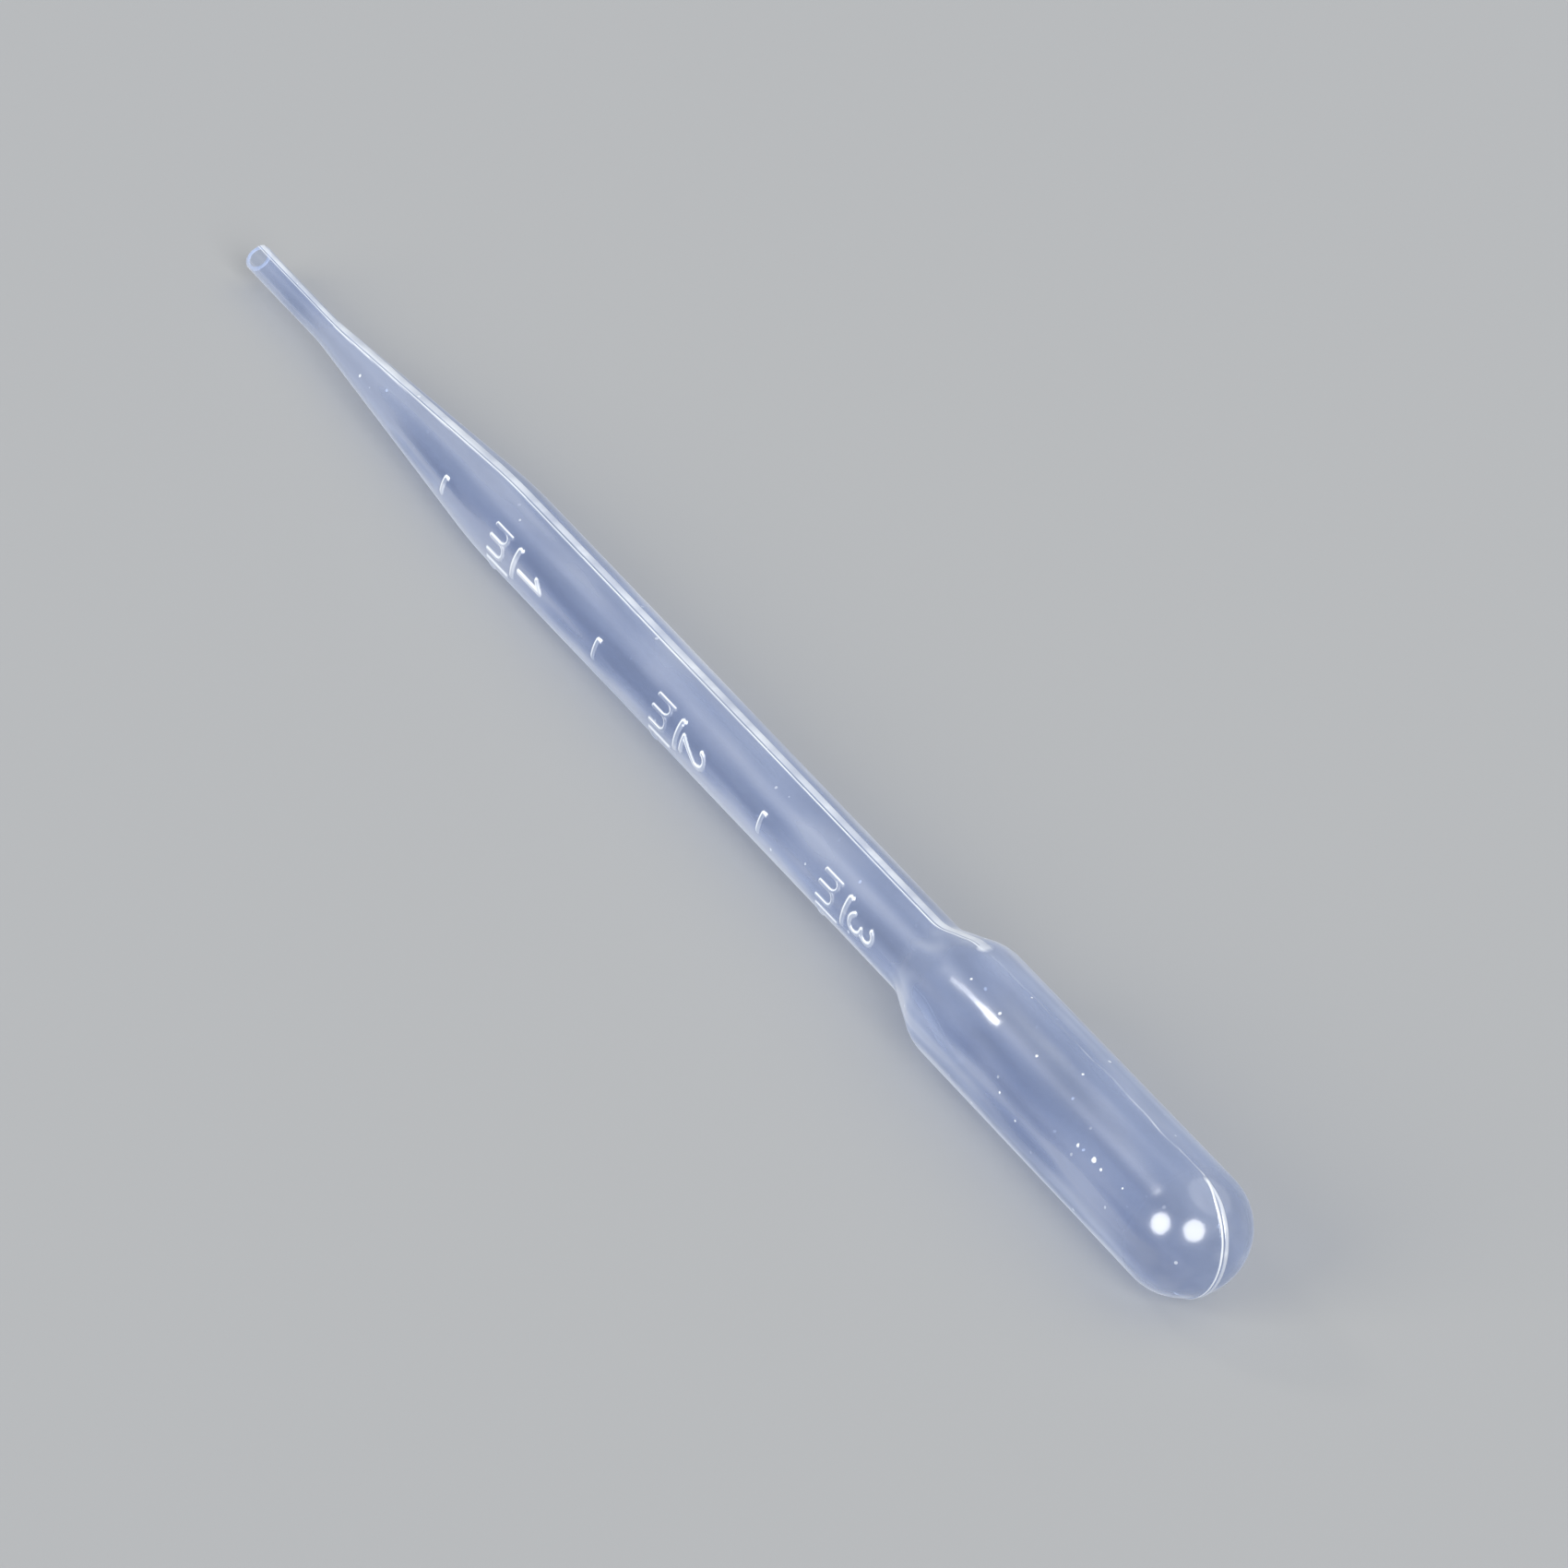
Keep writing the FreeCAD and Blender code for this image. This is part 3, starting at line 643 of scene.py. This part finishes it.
def milkyPlastic(name, look):
    # a hazy body over clear plastic, with a thin gloss on its outer face
    material, nodes, links = newMaterial(name)

    def value(operation, *values):
        node = nodes.new("ShaderNodeMath")
        node.operation = operation
        for slot, given in enumerate(values):
            if isinstance(given, (int, float)):
                node.inputs[slot].default_value = given
            else:
                links.new(given, node.inputs[slot])
        return node.outputs[0]

    def stored(attribute):
        node = nodes.new("ShaderNodeAttribute")
        node.attribute_name = attribute
        return node.outputs["Fac"]

    wall = nodes.new("ShaderNodeGroup")
    wall.node_tree = wallGroup
    for socket, size in blown.items():
        wall.inputs[socket].default_value = size
    # whiteness from the mesh, specks and scuffs; it holds painted highlights on the marks and the land's
    # line too
    white = stored("white")
    if look["flecks"]:      # tiny specks in the wall, and the scuffs
        cells = nodes.new("ShaderNodeTexVoronoi")
        cells.inputs["Scale"].default_value = 1 / look["speckCell"]
        place = nodes.new("ShaderNodeTexCoord")
        links.new(place.outputs["Object"], cells.inputs["Vector"])
        chosen = nodes.new("ShaderNodeSeparateColor")
        links.new(cells.outputs["Color"], chosen.inputs[0])
        near = value("LESS_THAN", cells.outputs["Distance"], look["speckHalf"] / look["speckCell"])
        near = value("MULTIPLY", near, value("LESS_THAN", chosen.outputs[0], look["speckShare"]))
        white = value("MAXIMUM", white, value("MULTIPLY", near, chosen.outputs[1]))
        ragged = nodes.new("ShaderNodeTexNoise")
        ragged.inputs["Scale"].default_value = 1 / look["fleckGrain"]
        links.new(place.outputs["Object"], ragged.inputs["Vector"])
        for x, angle, half in look["flecks"]:
            a, r, half = math.radians(angle), outerRadius(x) * mm, half * mm
            gap = nodes.new("ShaderNodeVectorMath")
            gap.operation = "DISTANCE"
            outwards = upward * math.cos(a) + sideways * math.sin(a)
            gap.inputs[1].default_value = lie["mouth"] + along * x * mm + outwards * r
            links.new(place.outputs["Object"], gap.inputs[0])
            bite = half * look["fleckRough"] * 2
            edge = value("MULTIPLY_ADD", ragged.outputs["Fac"], bite, gap.outputs["Value"])
            fleck = nodes.new("ShaderNodeMapRange")
            fleck.inputs["From Min"].default_value = half * look["fleckFrom"]
            fleck.inputs["From Max"].default_value = half * look["fleckTo"]
            links.new(edge, fleck.inputs["Value"])
            white = value("MAXIMUM", white, fleck.outputs[0])

    # drawn bands in the wall change its tone and how much milk is in it
    bands = value("MULTIPLY", wall.outputs["Clouds"], look["clouds"])
    bands = value("MULTIPLY_ADD", wall.outputs["Streaks"], look["streaks"], bands)
    # painted shading, lighter lower sides and darker upper flanks, shifts the tone and the milk, with the
    # bulb's drawn lines
    bands = value("MULTIPLY_ADD", stored("paintedShadingAndLines"), look["paintedShadingShift"], bands)
    tone = nodes.new("ShaderNodeValToRGB")
    dark, pale = tone.color_ramp.elements
    dark.position, dark.color = look["bandFrom"], look["milkDark"]
    pale.position, pale.color = look["bandTo"], look["milk"]
    links.new(bands, tone.inputs["Fac"])
    colour = nodes.new("ShaderNodeMix")
    colour.data_type = "RGBA"
    colour.inputs["B"].default_value = look["white"]
    links.new(white, colour.inputs["Factor"])
    links.new(tone.outputs["Color"], colour.inputs["A"])
    thick = nodes.new("ShaderNodeMapRange")
    thick.inputs["From Min"].default_value = look["bandFrom"]
    thick.inputs["From Max"].default_value = look["bandTo"]
    thick.inputs["To Min"].default_value = look["thinnest"]
    links.new(bands, thick.inputs["Value"])
    bump = nodes.new("ShaderNodeBump")
    bump.inputs["Strength"].default_value = look["grainBump"]
    bump.inputs["Distance"].default_value = look["grainDepth"]
    links.new(wall.outputs["Grain"], bump.inputs["Height"])

    milk = nodes.new("ShaderNodeBsdfPrincipled")
    milk.inputs["Specular IOR Level"].default_value = 0.0
    milk.inputs["Sheen Weight"].default_value = look["sheen"]
    milk.inputs["Sheen Roughness"].default_value = look["sheenRough"]
    milk.inputs["Sheen Tint"].default_value = look["white"]
    links.new(colour.outputs["Result"], milk.inputs["Base Color"])
    rough = value("MULTIPLY_ADD", wall.outputs["Grain"], look["grainRough"], look["rough"])
    links.new(rough, milk.inputs["Roughness"])
    links.new(value("MAXIMUM", thick.outputs[0], white), milk.inputs["Alpha"])
    links.new(bump.outputs[0], milk.inputs["Normal"])
    glow = nodes.new("ShaderNodeBsdfTranslucent")
    glow.inputs["Color"].default_value = look["milk"]
    body = nodes.new("ShaderNodeMixShader")
    links.new(value("MULTIPLY", value("SUBTRACT", 1.0, white), look["glow"]), body.inputs["Fac"])
    links.new(milk.outputs[0], body.inputs[1])
    links.new(glow.outputs[0], body.inputs[2])

    # the flatter the view along the wall, the more milky plastic lies in the line of sight
    facing = nodes.new("ShaderNodeLayerWeight")
    facing.inputs["Blend"].default_value = 0.5
    cosine = value("MAXIMUM", value("SUBTRACT", 1.0, facing.outputs["Facing"]), look["leastFacing"])
    deep = value("DIVIDE", stored("milk"), value("POWER", cosine, look["grazing"]))
    passed = value("POWER", 1 - look["haze"], deep)
    passed = value("MULTIPLY", passed, value("SUBTRACT", 1.0, value("MULTIPLY", white, look["whiteHaze"])))
    clear = nodes.new("ShaderNodeBsdfTransparent")
    clear.inputs["Color"].default_value = look["clear"]
    wallShader = nodes.new("ShaderNodeMixShader")
    links.new(value("SUBTRACT", 1.0, passed), wallShader.inputs["Fac"])
    links.new(clear.outputs[0], wallShader.inputs[1])
    links.new(body.outputs[0], wallShader.inputs[2])

    gloss = nodes.new("ShaderNodeBsdfGlossy")
    polish = stored("gloss")
    if look["polished"] == look["dull"]:
        gloss.inputs["Roughness"].default_value = look["dull"]
    else:
        satin = value("MULTIPLY_ADD", polish, look["polished"] - look["dull"], look["dull"])
        links.new(satin, gloss.inputs["Roughness"])
    links.new(bump.outputs[0], gloss.inputs["Normal"])
    mirror = value("MULTIPLY_ADD", polish, look["mirror"] - look["dullMirror"], look["dullMirror"])
    rim = value("POWER", facing.outputs["Facing"], look["rimPower"])
    mirror = value("MULTIPLY_ADD", rim, look["rimMirror"], mirror)
    side = nodes.new("ShaderNodeNewGeometry")
    mirror = value("MULTIPLY", mirror, value("SUBTRACT", 1.0, side.outputs["Backfacing"]))
    last = nodes.new("ShaderNodeMixShader")
    links.new(mirror, last.inputs["Fac"])
    links.new(wallShader.outputs[0], last.inputs[1])
    links.new(gloss.outputs[0], last.inputs[2])
    out = nodes.new("ShaderNodeOutputMaterial")
    links.new(last.outputs[0], out.inputs["Surface"])
    return material


for name, look in (("milkyPolyethylene", plastic), ("milkyPolyethyleneInside", {**plastic, **innerSide})):
    pipetteBody.data.materials.append(milkyPlastic(name, look))
print("materials:", [m.name for m in pipetteBody.data.materials])

studio = {
    "floorHalf": 6.0, "floorColour": (0.46, 0.47, 0.48, 1),
    "world": (0.46, 0.47, 0.48, 1), "worldLight": 0.6, "worldSeen": 1.05,   # seen, as pale as the floor
}
floorMesh = bpy.data.meshes.new("floor")
h = studio["floorHalf"]
floorMesh.from_pydata([(-h, -h, 0), (h, -h, 0), (h, h, 0), (-h, h, 0)], [], [(0, 1, 2, 3)])
floor = bpy.data.objects.new("floor", floorMesh)
bpy.context.scene.collection.objects.link(floor)
material, nodes, links = newMaterial("floorPaint")
paint = nodes.new("ShaderNodeBsdfPrincipled")
paint.inputs["Base Color"].default_value = studio["floorColour"]
paint.inputs["Roughness"].default_value = 1.0
paint.inputs["Specular IOR Level"].default_value = 0.0
out = nodes.new("ShaderNodeOutputMaterial")
links.new(paint.outputs[0], out.inputs["Surface"])
floorMesh.materials.append(material)
print("floor laid")

lamps = [  # broad far lamps: azimuth, elevation and size in degrees, share of the light on the floor
    {"name": "sideBox", "azimuth": -85, "elevation": 22, "size": 33.4, "share": 0.22},
    {"name": "frontBox", "azimuth": -21, "elevation": 32, "size": 35.6, "share": 0.33},
    {"name": "tipBox", "azimuth": -146, "elevation": 37, "size": 10.0, "share": 0.045},
    {"name": "topBox", "azimuth": 80, "elevation": 62, "size": 64.0, "share": 0.18},
]


def direction(azimuth, elevation):
    a, e = math.radians(azimuth), math.radians(elevation)
    return Vector((math.cos(a) * math.cos(e), math.sin(a) * math.cos(e), math.sin(e)))


for lamp in lamps:
    light = bpy.data.lights.new(lamp["name"], "SUN")
    light.angle = math.radians(lamp["size"])
    light.energy = lamp["share"] * math.pi / math.sin(math.radians(lamp["elevation"]))
    thing = bpy.data.objects.new(lamp["name"], light)
    away = direction(lamp["azimuth"], lamp["elevation"])
    thing.location = away
    thing.rotation_euler = away.to_track_quat("Z", "Y").to_euler()
    bpy.context.scene.collection.objects.link(thing)
print("lamps:", [lamp["name"] for lamp in lamps])

world = bpy.data.worlds.new("studio")
world.use_nodes = True
nodes, links = world.node_tree.nodes, world.node_tree.links
background = nodes["Background"]
background.inputs["Color"].default_value = studio["world"]
path = nodes.new("ShaderNodeLightPath")     # brighter where it is seen, mirrored or seen through
seen = path.outputs["Is Camera Ray"]
for ray in ("Is Glossy Ray", "Is Transmission Ray"):
    either = nodes.new("ShaderNodeMath")
    either.operation = "MAXIMUM"
    links.new(seen, either.inputs[0])
    links.new(path.outputs[ray], either.inputs[1])
    seen = either.outputs[0]
strength = nodes.new("ShaderNodeMapRange")
strength.inputs["To Min"].default_value = studio["worldLight"]
strength.inputs["To Max"].default_value = studio["worldSeen"]
links.new(seen, strength.inputs["Value"])
links.new(strength.outputs[0], background.inputs["Strength"])
bpy.context.scene.world = world

shot = {
    "azimuth": -40.462, "elevation": 32.547, "roll": 15.464, "distance": 1.235,
    "aim": Vector((12.890, -2.736, 9.839)) * mm,
    "lens": 331.63, "sensor": 36, "clipStart": 0.05, "clipEnd": 50,
}
camera = bpy.data.cameras.new("camera")
camera.lens = shot["lens"]
camera.sensor_width = shot["sensor"]
camera.clip_start, camera.clip_end = shot["clipStart"], shot["clipEnd"]
cameraThing = bpy.data.objects.new("camera", camera)
back = direction(shot["azimuth"], shot["elevation"])
right = Vector((0, 0, 1)).cross(back).normalized()
up = back.cross(right)
turned = Matrix((right, up, back)).transposed() @ Matrix.Rotation(math.radians(shot["roll"]), 3, "Z")
cameraThing.matrix_world = Matrix.Translation(shot["aim"] + back * shot["distance"]) @ turned.to_4x4()
bpy.context.scene.collection.objects.link(cameraThing)
bpy.context.scene.camera = cameraThing
bpy.context.scene.view_settings.view_transform = "Standard"
print("camera:", shot["azimuth"], "round,", shot["elevation"], "up")
